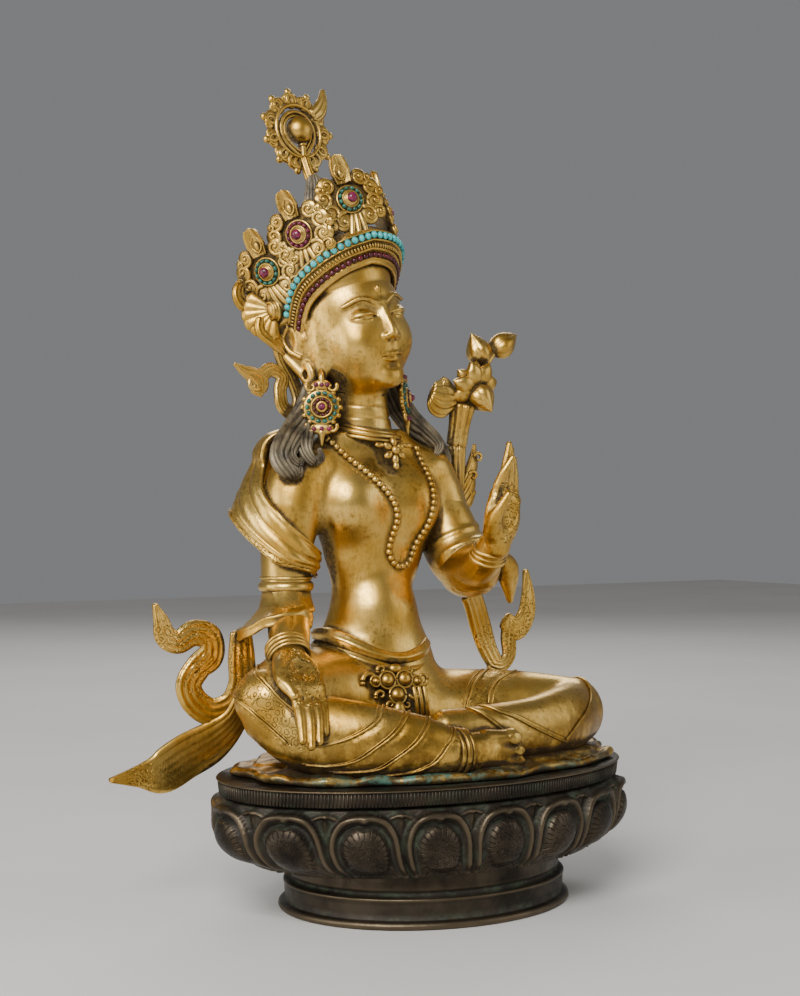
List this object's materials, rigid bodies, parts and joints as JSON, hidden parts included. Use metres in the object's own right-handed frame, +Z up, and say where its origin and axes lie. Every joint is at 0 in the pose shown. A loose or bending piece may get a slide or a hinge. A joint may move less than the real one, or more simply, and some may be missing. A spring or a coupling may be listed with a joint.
{
  "type": "tara figure",
  "caption": "Seated gilt metal Tara with a jewelled crown, lotus, scarves and one open hand, on a dark bronze oval lotus plinth",
  "frame": {"origin": "centre of the plinth's flat underside", "axes": "+Z up, the figure faces -Y, its own right hand lies towards -X"},
  "size_m": [0.3275, 0.1804, 0.5027],
  "materials": {
    "gilt_copper": "fire-gilt copper alloy, rubbed bright on the raised parts and brown with green traces in the hollows",
    "dark_bronze": "dark brown patinated bronze with a low shine",
    "turquoise": "polished turquoise cabochons",
    "garnet": "polished dark red stones"
  },
  "bodies": {
    "root": {"plinth": "dark_bronze", "figure": "gilt_copper", "crown": "gilt_copper", "finial": "gilt_copper", "crown_ribbon_right": "gilt_copper", "crown_ribbon_left": "gilt_copper", "lotus_stalk": "gilt_copper", "lotus_flower": "gilt_copper", "scarf_right": "gilt_copper", "scarf_left": "gilt_copper", "crown_turquoises": "turquoise", "crown_garnets": "garnet", "earring_right": "gilt_copper", "earring_left": "gilt_copper"}
  },
  "joints": []
}
